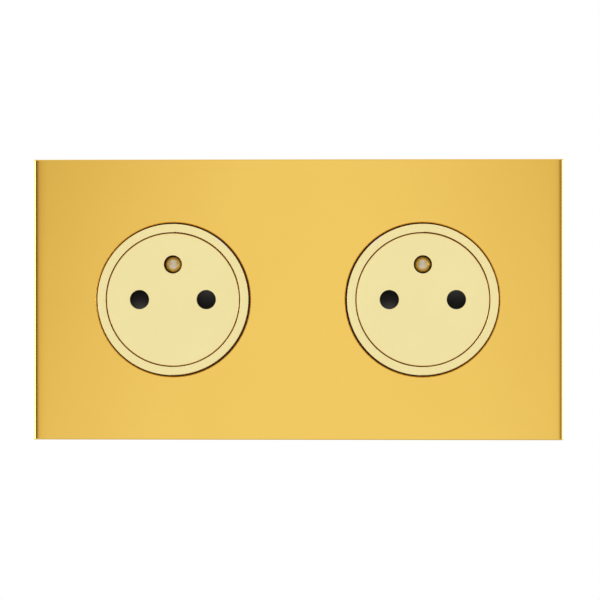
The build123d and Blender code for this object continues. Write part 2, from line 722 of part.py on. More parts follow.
def housing_screws():
    """Screws through cover, base and floor into the well's bosses."""
    tip = floor_front - HOUSING_SCREW_GRIP
    head_back = cover_back + HOUSING_SCREW_HEAD_HEIGHT
    screw = rod(HOUSING_SCREW_DIAMETER / 2, tip, cover_back)
    screw += rod(HOUSING_SCREW_HEAD / 2, cover_back, head_back)
    screw -= slab(Rectangle(HOUSING_SCREW_HEAD, SCREW_SLOT_WIDTH), head_back - SCREW_SLOT_DEPTH, head_back)
    return Part() + [Pos(x, 0, z) * screw for x, z in housing_screw_places]


def outlet():
    """Every piece of one outlet, by name, about the outlet's own axis."""
    return {
        "trim_ring": trim_ring(),
        "face_disc": face_disc(),
        "disc_carrier": disc_carrier(),
        "carrier_back": carrier_back(),
        "carrier_screw": carrier_screw(),
        "shutter": shutter(),
        "shutter_spring": shutter_spring(),
        "return_spring": return_spring(),
        "well_body": well_body(),
        "well_floor": well_floor(),
        "terminal_base": terminal_base(),
        "line_contact": pin_contact(),
        "neutral_contact": mirror(pin_contact(), Plane.YZ),
        "earth_pin": earth_pin(),
        "earth_strap": earth_strap(),
        "line_clamp": wire_clamp(),
        "neutral_clamp": mirror(wire_clamp(), Plane.YZ),
        "earth_clamp": mirror(wire_clamp(), Plane.XY),
        "terminal_screws": terminal_screws(),
        "rear_cover": rear_cover(),
        "housing_screws": housing_screws(),
    }


def socket():
    """Every piece of the double socket, by name."""
    pieces = {"front_plate": front_plate(), "clip_frame": clip_frame(), "support_frame": support_frame()}
    for name, piece in outlet().items():
        pieces["left_" + name] = Pos(-outlet_pitch / 2, 0, 0) * piece
        pieces["right_" + name] = Pos(outlet_pitch / 2, 0, 0) * piece
    return pieces


os.makedirs("parts", exist_ok=True)
for node, solid in socket().items():
    export_step(solid, f"parts/{node}.step")
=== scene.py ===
import math

import bpy
from mathutils import Euler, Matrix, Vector


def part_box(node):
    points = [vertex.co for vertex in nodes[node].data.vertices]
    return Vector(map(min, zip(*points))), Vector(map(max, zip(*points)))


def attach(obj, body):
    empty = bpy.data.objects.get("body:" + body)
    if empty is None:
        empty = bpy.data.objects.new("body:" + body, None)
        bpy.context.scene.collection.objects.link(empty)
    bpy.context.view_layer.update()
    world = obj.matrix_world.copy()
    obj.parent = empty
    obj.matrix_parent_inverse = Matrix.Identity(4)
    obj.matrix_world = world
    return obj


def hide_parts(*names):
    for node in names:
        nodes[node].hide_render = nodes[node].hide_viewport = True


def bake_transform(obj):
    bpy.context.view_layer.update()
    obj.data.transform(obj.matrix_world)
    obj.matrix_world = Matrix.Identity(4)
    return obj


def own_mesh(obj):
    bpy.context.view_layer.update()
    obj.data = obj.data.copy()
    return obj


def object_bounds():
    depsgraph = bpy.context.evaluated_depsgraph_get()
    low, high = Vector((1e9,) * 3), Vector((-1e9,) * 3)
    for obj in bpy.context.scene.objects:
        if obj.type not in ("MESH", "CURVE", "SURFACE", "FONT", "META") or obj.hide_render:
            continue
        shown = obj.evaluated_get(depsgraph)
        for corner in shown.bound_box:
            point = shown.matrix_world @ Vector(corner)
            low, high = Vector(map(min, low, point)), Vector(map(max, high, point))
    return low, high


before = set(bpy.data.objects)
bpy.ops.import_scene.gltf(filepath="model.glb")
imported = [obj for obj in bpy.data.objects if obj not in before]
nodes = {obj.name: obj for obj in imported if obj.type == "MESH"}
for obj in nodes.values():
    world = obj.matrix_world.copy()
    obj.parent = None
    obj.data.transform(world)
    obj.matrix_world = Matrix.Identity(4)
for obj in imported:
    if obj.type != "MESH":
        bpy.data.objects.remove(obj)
cad_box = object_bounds()
scene = bpy.context.scene

# Flush double wall socket in a white studio, seen from the front.
# Lengths are in metres. X runs right along the plate, Z up and Y into the wall.

MM = 0.001
MICRON = 0.001 * MM
SIDES = ("left", "right")
WHITE = (1.0, 1.0, 1.0, 1.0)

# Camera: size and scale of the picture in pixels, the plate's centre in it, and degrees to the right
PHOTO_PIXELS = 600
PIXELS_PER_METRE = 3521.5
PLATE_CENTRE_PIXEL = (297.7, 299.6)
CAMERA_TURN = 1.5
CAMERA_DISTANCE = 0.70
SENSOR_MM = 36.0

# Even light on matt surfaces, and the key lamp
ROOM_STRENGTH = 0.86
KEY_PLACE = (0.0, -1.3, 1.5)
KEY_SIZE = 1.6
KEY_WATTS = 12.8

# Floor: drop below the socket, size, where it fades to white, and its glow in mirrors near and far, dimmer
# near the socket as painted shade
FLOOR_DROP = 0.26
FLOOR_SIZE = 3.0
FLOOR_FADE = (0.45, 1.25)
FLOOR_MIRROR_GLOW_PAINTED_SHADE = (0.70, 1.0)
FLOOR_TONES = ((0.86, 0.86, 0.86), (0.88, 0.88, 0.88))
FLOOR_CLOUDS = {"scale": 3.0}
FLOOR_ROUGHNESS = 0.7

# What polished metal mirrors straight ahead, by degrees aside: a white card in a dim corner
CARD_STOPS = (
    (0.0, (1.0, 1.0, 1.0)),
    (2.8, (0.985, 0.98, 0.975)),
    (5.3, (0.90, 0.87, 0.80)),
    (7.1, (0.83, 0.77, 0.63)),
    (13.0, (0.44, 0.35, 0.25)),
    (20.0, (0.24, 0.165, 0.11)),
)
# Degrees that the stops are a share of, shift of the card, and its tilt for each degree of height
CARD_SWEEP = 90.0
CARD_SHIFT = -0.9
CARD_TILT = 0.38
# Degrees aside and up between which the corner opens into the rest of the studio
CORNER_ASIDE = (62.0, 70.0)
CORNER_HEIGHT = (10.0, 28.0)

# Light panels all round the studio: mean tone, swing, how many, and their bands by height
PANEL_TONE = 0.88
PANEL_SWING = 0.16
PANEL_COUNT = 9
PANEL_BANDS = 5

# Strip lamps beside the socket: degrees to the right where each begins and ends, and its strength
STRIP_LAMPS = (
    (-150.0, -102.0, 4.2),
    (-81.5, -52.0, 5.2),
    (22.5, 70.0, 0.25),
    (70.0, 86.0, 4.2),
    (102.0, 150.0, 4.2),
)
# Degrees up and down that the strip lamps reach, the width of their soft rim, and their colour
STRIP_HEIGHT = 5.0
STRIP_RIM = 3.0
STRIP_COLOUR = (1.0, 1.0, 1.4)

# Stretch of a noise's values over which a finish runs from dark to light and from smooth to rough
NOISE_SPAN = (0.3, 0.7)

# Polished brass of the plate
BRASS_TONES = ((0.872, 0.578, 0.123), (0.884, 0.588, 0.127))
BRASS_CLOUDS = {"scale": 45.0, "detail": 3.0}
BRASS_STREAKS = {"scale": 900.0, "detail": 4.0, "stretch": (0.06, 1.0, 1.0)}
BRASS_ROUGHNESS = (0.03, 0.07)
BRASS_WAVES = {"scale": 160.0}
BRASS_WAVE_HEIGHT = 0.4 * MICRON

# Lean in degrees that polishing gave the plate's face, by distance from its left edge
LEAN_STOPS = (
    (0.0 * MM, 0.0),
    (1.2 * MM, 6.0),
    (1.5 * MM, 2.6),
    (1.9 * MM, 1.1),
    (2.6 * MM, 0.45),
    (4.2 * MM, 0.0),
)
# Share of that lean at the right edge, and how far a surface has to face the front to have it
RIGHT_LEAN = 0.5
LEAN_FACING = 0.05

# Champagne lacquer of the faces and trim rings, and how level a surface lies where it begins and is full
LACQUER_TONES = ((0.880, 0.766, 0.368), (0.898, 0.782, 0.380))
LACQUER_CLOUDS = {"scale": 70.0, "detail": 3.0}
LACQUER_GRAIN = {"scale": 5200.0, "detail": 3.0}
LACQUER_GRAIN_HEIGHT = 2.0 * MICRON
LACQUER_ROUGHNESS = (0.34, 0.44)
LACQUER_METALLIC = 0.25
LACQUER_LEVEL = (0.6, 0.92)

# Outer rim of a trim ring: its width, and how much of the lacquer reaches round it
RIM_WIDTH = 0.28 * MM
RIM_COAT = 0.5

# Bare brass of the punched edges and of the sleeve round the earth pin, and how far that sleeve reaches
EDGE_BRASS = (0.95, 0.56, 0.11)
SLEEVE_BRASS = (0.92, 0.62, 0.08)
SLEEVE_REACH = 4.0 * MM

# Painted highlight: a pale glint painted on each trim ring's outer rim, in degrees up from the line to the
# plate's middle
PAINTED_GLINT_ANGLE = 51.0
PAINTED_GLINT_SPREAD = (4.0, 8.0)
PAINTED_GLINT_COLOUR = (0.86, 0.76, 0.68)

# Moulded plastics
BLACK_TONES = ((0.040, 0.040, 0.037), (0.058, 0.058, 0.053))
GREY_TONES = ((0.070, 0.070, 0.074), (0.095, 0.095, 0.100))
PLASTIC_FLOW = {"scale": 380.0, "detail": 6.0, "stretch": (1.0, 0.35, 0.5), "roughness": 0.75}
PLASTIC_FLOW_SPAN = (0.25, 0.75)
PLASTIC_GRAIN = {"scale": 2600.0, "detail": 4.0, "roughness": 0.7}
PLASTIC_GRAIN_HEIGHT = 14.0 * MICRON
PLASTIC_ROUGHNESS = (0.38, 0.56)

# Zinc-plated steel
ZINC_STOPS = (
    (0.3, (0.52, 0.53, 0.55)),
    (0.55, (0.62, 0.63, 0.65)),
    (0.75, (0.66, 0.655, 0.62)),
)
ZINC_PATCHES = {"scale": 240.0, "detail": 3.0}
ZINC_GRAIN = {"scale": 1600.0, "stretch": (0.05, 1.0, 1.0)}
ZINC_GRAIN_HEIGHT = 2.5 * MICRON
ZINC_ROUGHNESS = (0.29, 0.33)

# Drawn spring steel
STEEL_TONES = ((0.42, 0.42, 0.43), (0.56, 0.56, 0.56))
STEEL_DRAWING = {"scale": 2600.0, "detail": 3.0}
STEEL_ROUGHNESS = (0.2, 0.34)

# Stamped brass of the contacts
CONTACT_TONES = ((0.66, 0.46, 0.16), (0.78, 0.56, 0.22))
CONTACT_PATCHES = {"scale": 380.0, "detail": 4.0}
CONTACT_GRAIN = {"scale": 2200.0, "stretch": (1.0, 0.08, 1.0)}
CONTACT_GRAIN_HEIGHT = 0.25 * MICRON
CONTACT_ROUGHNESS = (0.18, 0.34)

# Nickel plating
NICKEL_TONES = ((0.785, 0.712, 0.538), (0.815, 0.740, 0.562))
NICKEL_TURNING = {"scale": 1800.0, "detail": 3.0, "stretch": (1.0, 2.5, 1.0)}
NICKEL_ROUGHNESS = (0.36, 0.46)

# Return spring: turns, wire and closed end coils
SPRING_TURNS = 7
SPRING_WIRE = 0.8 * MM
SPRING_END_PITCH = 0.85 * MM

# Earth pin: shank, crowned tip, collar behind the floor and riveted tail
PIN_DIAMETER = 4.8 * MM
PIN_TIP_ROUND = 1.9 * MM
PIN_TIP_STEPS = 12
PIN_COLLAR_LENGTH = 1.4 * MM
PIN_TAIL_DIAMETER = 3.8 * MM
PIN_RIVET_DIAMETER = 5.2 * MM
PIN_RIVET_LENGTH = 0.8 * MM
PIN_SIDES = 64
PIN_SHARP_FOLD = 40.0

# Hairpin spring of the shutter
HAIRPIN_WIRE = 0.5 * MM
HAIRPIN_STEPS = 32

# Facets of a wire's section, and steps along one turn of a coil
WIRE_SIDES = 12
TURN_STEPS = 48

# Edges broken by moulding and turning: width of the break
BROKEN_EDGES = {
    "rear_cover": 0.30 * MM,
    "terminal_base": 0.25 * MM,
    "well_body": 0.25 * MM,
    "housing_screws": 0.15 * MM,
    "terminal_screws": 0.12 * MM,
}
# Facets across a break, and the steepest fold in degrees that is left as it is
BROKEN_STEPS = 3
FOLD_LIMIT = 35.0
# Degrees between faces that count as one plane, and distance between points that count as one
PLANE_LIMIT = 0.5
WELD_REACH = 1.0 * MICRON


def add_node(tree, kind, **settings):
    """New shader node with its settings; a setting named like a socket fills that socket."""
    node = tree.nodes.new(kind)
    for key, value in settings.items():
        if hasattr(node, key):
            setattr(node, key, value)
        else:
            node.inputs[key].default_value = value
    return node


def math_node(tree, operation, first, second=None):
    """Output of a math node; an input is a number or another node's output."""
    node = add_node(tree, "ShaderNodeMath", operation=operation)
    for socket, value in zip(node.inputs, (first, second)):
        if isinstance(value, bpy.types.NodeSocket):
            tree.links.new(value, socket)
        elif value is not None:
            socket.default_value = value
    return node.outputs[0]


def remap(tree, value, low, high, to_low=0.0, to_high=1.0, smooth=False):
    """Output that moves a value from one range to another."""
    node = add_node(tree, "ShaderNodeMapRange", interpolation_type="SMOOTHSTEP" if smooth else "LINEAR")
    tree.links.new(value, node.inputs["Value"])
    for name, number in (("From Min", low), ("From Max", high), ("To Min", to_low), ("To Max", to_high)):
        node.inputs[name].default_value = number
    return node.outputs["Result"]


def within(tree, value, limits):
    """One where a value lies below two limits in degrees, nought above them, and soft between."""
    low, high = limits
    return remap(tree, value, math.radians(low), math.radians(high), 1.0, 0.0, smooth=True)


def split(tree, vector):
    """X, Y and Z outputs of a vector."""
    node = add_node(tree, "ShaderNodeSeparateXYZ")
    tree.links.new(vector, node.inputs[0])
    return node.outputs


def object_place(tree):
    """Place of a point in its object, which is its place in the socket at rest."""
    return add_node(tree, "ShaderNodeTexCoord").outputs["Object"]


def surface_normal(tree):
    """Direction that a surface faces."""
    return add_node(tree, "ShaderNodeNewGeometry").outputs["Normal"]


def noise(tree, scale, detail=2.0, stretch=(1.0, 1.0, 1.0), roughness=0.5):
    """Noise value in object space, in waves per metre, stretched along an axis if wanted."""
    mapping = add_node(tree, "ShaderNodeMapping", Scale=stretch)
    tree.links.new(object_place(tree), mapping.inputs["Vector"])
    node = add_node(tree, "ShaderNodeTexNoise", Scale=scale, Detail=detail, Roughness=roughness)
    tree.links.new(mapping.outputs["Vector"], node.inputs["Vector"])
    return node.outputs["Fac"]


def colour_ramp(tree, value, stops):
    """Output colour that runs through (place, colour) stops."""
    node = add_node(tree, "ShaderNodeValToRGB")
    elements = node.color_ramp.elements
    while len(elements) < len(stops):
        elements.new(1.0)
    for element, (place, colour) in zip(elements, stops):
        element.position = place
        element.color = (*colour, 1.0)
    tree.links.new(value, node.inputs["Fac"])
    return node.outputs["Color"]


def tone_over(tree, value, tones, span=NOISE_SPAN):
    """Output colour that runs from a dark tone to a light one with a noise."""
    return colour_ramp(tree, value, tuple(zip(span, tones)))


def rough_over(tree, value, limits):
    """Output roughness that runs between two limits with a noise."""
    return remap(tree, value, *NOISE_SPAN, *limits)


def mix_colours(tree, factor, first, second):
    """Output between two colours; each is a plain colour or another node's output."""
    node = add_node(tree, "ShaderNodeMix", data_type="RGBA")
    tree.links.new(factor, node.inputs["Factor"])
    for name, colour in (("A", first), ("B", second)):
        if isinstance(colour, bpy.types.NodeSocket):
            tree.links.new(colour, node.inputs[name])
        else:
            node.inputs[name].default_value = (*colour, 1.0)
    return node.outputs["Result"]


def mix_shaders(tree, factor, first, second):
    """Output between two shaders."""
    node = add_node(tree, "ShaderNodeMixShader")
    for socket, output in zip(node.inputs, (factor, first, second)):
        tree.links.new(output, socket)
    return node.outputs[0]


def bump(tree, height, distance, normal=None):
    """Normal for a height of 0 to 1 that stands for a distance in metres, over another normal if given."""
    node = add_node(tree, "ShaderNodeBump", Distance=distance)
    tree.links.new(height, node.inputs["Height"])
    if normal:
        tree.links.new(normal, node.inputs["Normal"])
    return node.outputs["Normal"]


def surface(name, **constants):
    """New material with a principled shader; returns the material, its tree and the shader."""
    material = bpy.data.materials.new(name)
    material.use_nodes = True
    tree = material.node_tree
    shader = tree.nodes["Principled BSDF"]
    for socket, value in constants.items():
        shader.inputs[socket].default_value = value
    return material, tree, shader


def connect(tree, shader, colour, roughness, normal=None):
    """Links what makes up a finish to its shader."""
    tree.links.new(colour, shader.inputs["Base Color"])
    tree.links.new(roughness, shader.inputs["Roughness"])
    if normal:
        tree.links.new(normal, shader.inputs["Normal"])


def polished_brass():
    """Mirror-polished, lacquered brass with faint cloudiness and polishing marks."""
    material, tree, shader = surface("polished_brass", Metallic=1.0)
    colour = tone_over(tree, noise(tree, **BRASS_CLOUDS), BRASS_TONES)
    roughness = rough_over(tree, noise(tree, **BRASS_STREAKS), BRASS_ROUGHNESS)
    waves = bump(tree, noise(tree, **BRASS_WAVES), BRASS_WAVE_HEIGHT, edge_lean(tree))
    connect(tree, shader, colour, roughness, waves)
    return material


def edge_lean(tree):
    """Normal of the plate, whose face polishing has rolled off a little towards its ends."""
    low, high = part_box("front_plate")
    reach = LEAN_STOPS[-1][0]
    x = split(tree, object_place(tree))["X"]
    inset = remap(tree, math_node(tree, "ABSOLUTE", x), high.x, high.x - reach)
    stops = [(place / reach, (math.tan(math.radians(lean)),) * 3) for place, lean in LEAN_STOPS]
    towards = remap(tree, x, low.x, high.x, -1.0, RIGHT_LEAN)
    lean = math_node(tree, "MULTIPLY", colour_ramp(tree, inset, stops), towards)
    normal = surface_normal(tree)
    front = math_node(tree, "LESS_THAN", split(tree, normal)["Y"], -LEAN_FACING)
    aside = add_node(tree, "ShaderNodeCombineXYZ")
    tree.links.new(math_node(tree, "MULTIPLY", lean, front), aside.inputs["X"])
    leaning = add_node(tree, "ShaderNodeVectorMath", operation="ADD")
    tree.links.new(normal, leaning.inputs[0])
    tree.links.new(aside.outputs[0], leaning.inputs[1])
    unit = add_node(tree, "ShaderNodeVectorMath", operation="NORMALIZE")
    tree.links.new(leaning.outputs[0], unit.inputs[0])
    return unit.outputs[0]


def champagne_metal():
    """Satin champagne lacquer on the faces and the trim rings' rims, with a painted glint on each rim; the
    punched edges are bare brass.
    """
    material, tree, shader = surface("champagne_metal", Metallic=LACQUER_METALLIC)
    facing = math_node(tree, "ABSOLUTE", split(tree, surface_normal(tree))["Y"])
    level = remap(tree, facing, *LACQUER_LEVEL, smooth=True)
    rim, painted_glint = outer_rim(tree)
    coated = math_node(tree, "MAXIMUM", level, math_node(tree, "MULTIPLY", rim, RIM_COAT))
    lacquer = tone_over(tree, noise(tree, **LACQUER_CLOUDS), LACQUER_TONES)
    pin_distance = about_axis(tree, "earth_pin")[2]
    sleeve = math_node(tree, "LESS_THAN", pin_distance, SLEEVE_REACH)
    bare = mix_colours(tree, sleeve, EDGE_BRASS, SLEEVE_BRASS)
    # Painted highlight: a pale glint is painted into the lacquer on each trim ring's rim
    colour = mix_colours(tree, coated, bare, mix_colours(tree, painted_glint, lacquer, PAINTED_GLINT_COLOUR))
    grain = noise(tree, **LACQUER_GRAIN)
    roughness = rough_over(tree, grain, LACQUER_ROUGHNESS)
    connect(tree, shader, colour, roughness, bump(tree, grain, LACQUER_GRAIN_HEIGHT))
    tree.links.new(remap(tree, coated, 0.0, 1.0, 1.0, LACQUER_METALLIC), shader.inputs["Metallic"])
    return material


def about_axis(tree, piece):
    """Ways towards the plate's middle, up and outwards from the axis of a piece, alike on both outlets."""
    low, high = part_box("right_" + piece)
    place = split(tree, object_place(tree))
    aside = math_node(tree, "ABSOLUTE", place["X"])
    inward = math_node(tree, "SUBTRACT", (low.x + high.x) / 2, aside)
    upward = math_node(tree, "SUBTRACT", place["Z"], (low.z + high.z) / 2)
    squares = [math_node(tree, "MULTIPLY", way, way) for way in (inward, upward)]
    return inward, upward, math_node(tree, "SQRT", math_node(tree, "ADD", *squares))


def outer_rim(tree):
    """One on each trim ring's outer rim, and one at the painted glint on it; nought elsewhere."""
    low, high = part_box("right_trim_ring")
    inward, upward, radius = about_axis(tree, "trim_ring")
    angle = math_node(tree, "ARCTAN2", upward, inward)
    off = math_node(tree, "ABSOLUTE", math_node(tree, "SUBTRACT", angle, math.radians(PAINTED_GLINT_ANGLE)))
    rim = math_node(tree, "GREATER_THAN", radius, (high.x - low.x) / 2 - RIM_WIDTH)
    return rim, math_node(tree, "MULTIPLY", rim, within(tree, off, PAINTED_GLINT_SPREAD))


def moulded_plastic(name, tones):
    """Matt moulded plastic with spark-eroded texture and slight flow marks."""
    material, tree, shader = surface(name)
    colour = tone_over(tree, noise(tree, **PLASTIC_FLOW), tones, PLASTIC_FLOW_SPAN)
    grain = noise(tree, **PLASTIC_GRAIN)
    roughness = rough_over(tree, grain, PLASTIC_ROUGHNESS)
    connect(tree, shader, colour, roughness, bump(tree, grain, PLASTIC_GRAIN_HEIGHT))
    return material


def zinc_steel():
    """Zinc-plated sheet: rolled grain with the soft patches of bright plating."""
    material, tree, shader = surface("zinc_steel", Metallic=1.0)
    colour = colour_ramp(tree, noise(tree, **ZINC_PATCHES), ZINC_STOPS)
    grain = noise(tree, **ZINC_GRAIN)
    roughness = rough_over(tree, grain, ZINC_ROUGHNESS)
    connect(tree, shader, colour, roughness, bump(tree, grain, ZINC_GRAIN_HEIGHT))
    return material


def spring_steel():
    """Drawn spring wire, grey with faint draw marks."""
    material, tree, shader = surface("spring_steel", Metallic=1.0)
    drawing = noise(tree, **STEEL_DRAWING)
    colour = tone_over(tree, drawing, STEEL_TONES)
    connect(tree, shader, colour, rough_over(tree, drawing, STEEL_ROUGHNESS))
    return material


def contact_brass():
    """Stamped brass, a little dull, with rolled grain."""
    material, tree, shader = surface("contact_brass", Metallic=1.0)
    colour = tone_over(tree, noise(tree, **CONTACT_PATCHES), CONTACT_TONES)
    grain = noise(tree, **CONTACT_GRAIN)
    roughness = rough_over(tree, grain, CONTACT_ROUGHNESS)
    connect(tree, shader, colour, roughness, bump(tree, grain, CONTACT_GRAIN_HEIGHT))
    return material


def nickel():
    """Nickel plating with faint turning marks."""
    material, tree, shader = surface("nickel", Metallic=1.0)
    turning = noise(tree, **NICKEL_TURNING)
    colour = tone_over(tree, turning, NICKEL_TONES)
    connect(tree, shader, colour, rough_over(tree, turning, NICKEL_ROUGHNESS))
    return material


def finishes():
    """Every finish, by the name of its material slot."""
    return {
        "polished_brass": polished_brass(),
        "champagne_metal": champagne_metal(),
        "black_plastic": moulded_plastic("black_plastic", BLACK_TONES),
        "grey_plastic": moulded_plastic("grey_plastic", GREY_TONES),
        "zinc_steel": zinc_steel(),
        "spring_steel": spring_steel(),
        "contact_brass": contact_brass(),
        "nickel": nickel(),
    }


def dress_nodes(materials):
    """Gives every solid the finish of its material slot."""
    for node in nodes.values():
        for slot in node.material_slots:
            slot.material = materials[slot.material.name.split(".")[0]]


def new_object(name, data):
    """New object in the scene."""
    item = bpy.data.objects.new(name, data)
    scene.collection.objects.link(item)
    return item


def new_mesh(name, points, faces, material):
    """New smooth-shaded mesh object in the scene."""
    mesh = bpy.data.meshes.new(name)
    mesh.from_pydata(points, [], faces)
    mesh.shade_smooth()
    mesh.materials.append(material)
    return new_object(name, mesh)


def ring_faces(rings, sides):
    """Faces that join rings of points one after another, with a cap on the first ring and on the last."""
    faces = []
    for ring in range(rings - 1):
        for step in range(sides):
            first = ring * sides + step
            second = ring * sides + (step + 1) % sides
            faces.append((first, second, second + sides, first + sides))
    faces.append(tuple(reversed(range(sides))))
    faces.append(tuple(range((rings - 1) * sides, rings * sides)))
    return faces


def wire_mesh(name, path, radius, material):
    """Round wire along a list of points, closed at its ends."""
    points = []
    side = Vector((0.0, 1.0, 0.0))
    for index, point in enumerate(path):
        ahead = path[min(index + 1, len(path) - 1)] - path[max(index - 1, 0)]
        across = side.cross(ahead).normalized()
        up = ahead.cross(across).normalized()
        for step in range(WIRE_SIDES):
            angle = math.tau * step / WIRE_SIDES
            points.append(point + radius * (math.cos(angle) * across + math.sin(angle) * up))
    return new_mesh(name, points, ring_faces(len(path), WIRE_SIDES), material)


def coil_rise(turn, length):
    """Height of a coil spring's wire after some turns: the first and last turns lie closed."""
    open_pitch = (length - 2 * SPRING_END_PITCH) / (SPRING_TURNS - 2)
    first = min(turn, 1.0) * SPRING_END_PITCH
    middle = min(max(turn - 1.0, 0.0), SPRING_TURNS - 2.0) * open_pitch
    last = max(turn - (SPRING_TURNS - 1.0), 0.0) * SPRING_END_PITCH
    return first + middle + last


def return_spring(side, material):
    """Coil spring with closed end coils."""
    low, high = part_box(side + "_return_spring")
    centre = (low + high) / 2
    radius = (high.x - low.x - SPRING_WIRE) / 2
    length = high.y - low.y - SPRING_WIRE
    path = []
    for step in range(SPRING_TURNS * TURN_STEPS + 1):
        turn = step / TURN_STEPS
        angle = math.tau * turn
        x = centre.x + radius * math.sin(angle)
        y = low.y + SPRING_WIRE / 2 + coil_rise(turn, length)
        z = centre.z + radius * math.cos(angle)
        path.append(Vector((x, y, z)))
    coil = wire_mesh(side + "_coil", path, SPRING_WIRE / 2, material)
    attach(coil, "root")
    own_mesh(coil)
    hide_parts(side + "_return_spring")


def shutter_spring(side, material):
    """Hairpin wire: its lower leg leans on the face's lid."""
    low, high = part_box(side + "_shutter_spring")
    centre = (low + high) / 2
    radius = (high.z - low.z - HAIRPIN_WIRE) / 2
    axis_x = low.x + HAIRPIN_WIRE / 2 + radius
    path = [Vector((high.x, centre.y, centre.z - radius))]
    for step in range(HAIRPIN_STEPS + 1):
        angle = math.pi * step / HAIRPIN_STEPS
        x = axis_x - radius * math.sin(angle)
        z = centre.z - radius * math.cos(angle)
        path.append(Vector((x, centre.y, z)))
    path.append(Vector((high.x, centre.y, centre.z + radius)))
    hairpin = wire_mesh(side + "_hairpin", path, HAIRPIN_WIRE / 2, material)
    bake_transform(hairpin)
    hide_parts(side + "_shutter_spring")


def turned_mesh(name, profile, centre, material):
    """Mesh turned about the Y axis through a centre, from (radius, depth) points; its ends are flat."""
    points = []
    for radius, depth in profile:
        for step in range(PIN_SIDES):
            angle = -math.tau * step / PIN_SIDES
            x = centre.x + radius * math.cos(angle)
            z = centre.z + radius * math.sin(angle)
            points.append((x, depth, z))
    turned = new_mesh(name, points, ring_faces(len(profile), PIN_SIDES), material)
    turned.data.set_sharp_from_angle(angle=math.radians(PIN_SHARP_FOLD))
    return turned


def earth_pin(side, material):
    """Turned earth pin whose tip is crowned, with its collar and riveted tail."""
    low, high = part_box(side + "_earth_pin")
    strap_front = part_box(side + "_earth_strap")[0].y
    radius = PIN_DIAMETER / 2
    profile = []
    for step in range(PIN_TIP_STEPS + 1):
        angle = math.radians(90) * step / PIN_TIP_STEPS
        profile.append((
            radius - PIN_TIP_ROUND * (1 - math.sin(angle)),
            low.y + PIN_TIP_ROUND * (1 - math.cos(angle)),
        ))
    collar_front = strap_front - PIN_COLLAR_LENGTH
    collar_radius = (high.x - low.x) / 2
    rivet_front = high.y - PIN_RIVET_LENGTH
    profile += [
        (radius, collar_front),
        (collar_radius, collar_front),
        (collar_radius, strap_front),
        (PIN_TAIL_DIAMETER / 2, strap_front),
        (PIN_TAIL_DIAMETER / 2, rivet_front),
        (PIN_RIVET_DIAMETER / 2, rivet_front),
        (PIN_RIVET_DIAMETER / 2, high.y),
    ]
    pin = turned_mesh(side + "_crowned_pin", profile, (low + high) / 2, material)
    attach(pin, "root")
    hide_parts(side + "_earth_pin")


def break_edges():
    """Takes the sharpness off the edges of the moulded and turned pieces behind the plate."""
    for name, solid in nodes.items():
        width = BROKEN_EDGES.get(name.removeprefix("left_").removeprefix("right_"))
        if width is None:
            continue
        weld = solid.modifiers.new("weld", "WELD")
        weld.merge_threshold = WELD_REACH
        planes = solid.modifiers.new("planes", "DECIMATE")
        planes.decimate_type = "DISSOLVE"
        planes.angle_limit = math.radians(PLANE_LIMIT)
        broken = solid.modifiers.new("broken_edges", "BEVEL")
        broken.width = width
        broken.segments = BROKEN_STEPS
        broken.limit_method = "ANGLE"
        broken.angle_limit = math.radians(FOLD_LIMIT)
        broken.use_clamp_overlap = False
        solid.modifiers.new("normals", "WEIGHTED_NORMAL")


def camera():
    """Camera in front of the plate, placed so that the plate lies where the photograph has it."""
    low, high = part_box("front_plate")
    field = PHOTO_PIXELS / PIXELS_PER_METRE
    data = bpy.data.cameras.new("camera")
    data.sensor_width = SENSOR_MM
    data.lens = SENSOR_MM * CAMERA_DISTANCE / field
    viewer = new_object("camera", data)
    half = PHOTO_PIXELS / 2
    place = Vector((
        (half - PLATE_CENTRE_PIXEL[0]) / PIXELS_PER_METRE,
        -CAMERA_DISTANCE,
        (PLATE_CENTRE_PIXEL[1] - half) / PIXELS_PER_METRE,
    ))
    place.rotate(Euler((0, 0, math.radians(CAMERA_TURN))))
    viewer.location = Vector(((low.x + high.x) / 2, low.y, (low.z + high.z) / 2)) + place
    viewer.rotation_euler = (math.radians(90), 0, math.radians(CAMERA_TURN))
    scene.camera = viewer


def strip_lamps(tree, turn, rise):
    """Light of the strip lamps at the socket's height, in a direction."""
    level = within(tree, rise, (STRIP_HEIGHT, STRIP_HEIGHT + STRIP_RIM))
    total = 0.0
    for first, last, strength in STRIP_LAMPS:
        before = within(tree, turn, (first, first + STRIP_RIM))
        lit = math_node(tree, "SUBTRACT", within(tree, turn, (last - STRIP_RIM, last)), before)
        total = math_node(tree, "ADD", math_node(tree, "MULTIPLY", lit, strength), total)
    return math_node(tree, "MULTIPLY", total, level)


def light_panels(tree, aside, height):
    """Soft light panels all round the studio, in a direction."""
    around = math_node(tree, "SINE", math_node(tree, "MULTIPLY", aside, PANEL_COUNT))
    upward = math_node(tree, "COSINE", math_node(tree, "MULTIPLY", height, PANEL_BANDS))
    both = math_node(tree, "MULTIPLY", math_node(tree, "ADD", around, upward), PANEL_SWING / 2)
    return math_node(tree, "ADD", both, PANEL_TONE)


def white_card(tree, aside, height):
    """Tilted white card straight ahead that darkens into the corner of the studio."""
    angle = math_node(tree, "ADD", aside, math_node(tree, "MULTIPLY", height, CARD_TILT))
    share = remap(tree, angle, 0.0, math.radians(CARD_SWEEP))
    return colour_ramp(tree, share, [(degrees / CARD_SWEEP, colour) for degrees, colour in CARD_STOPS])


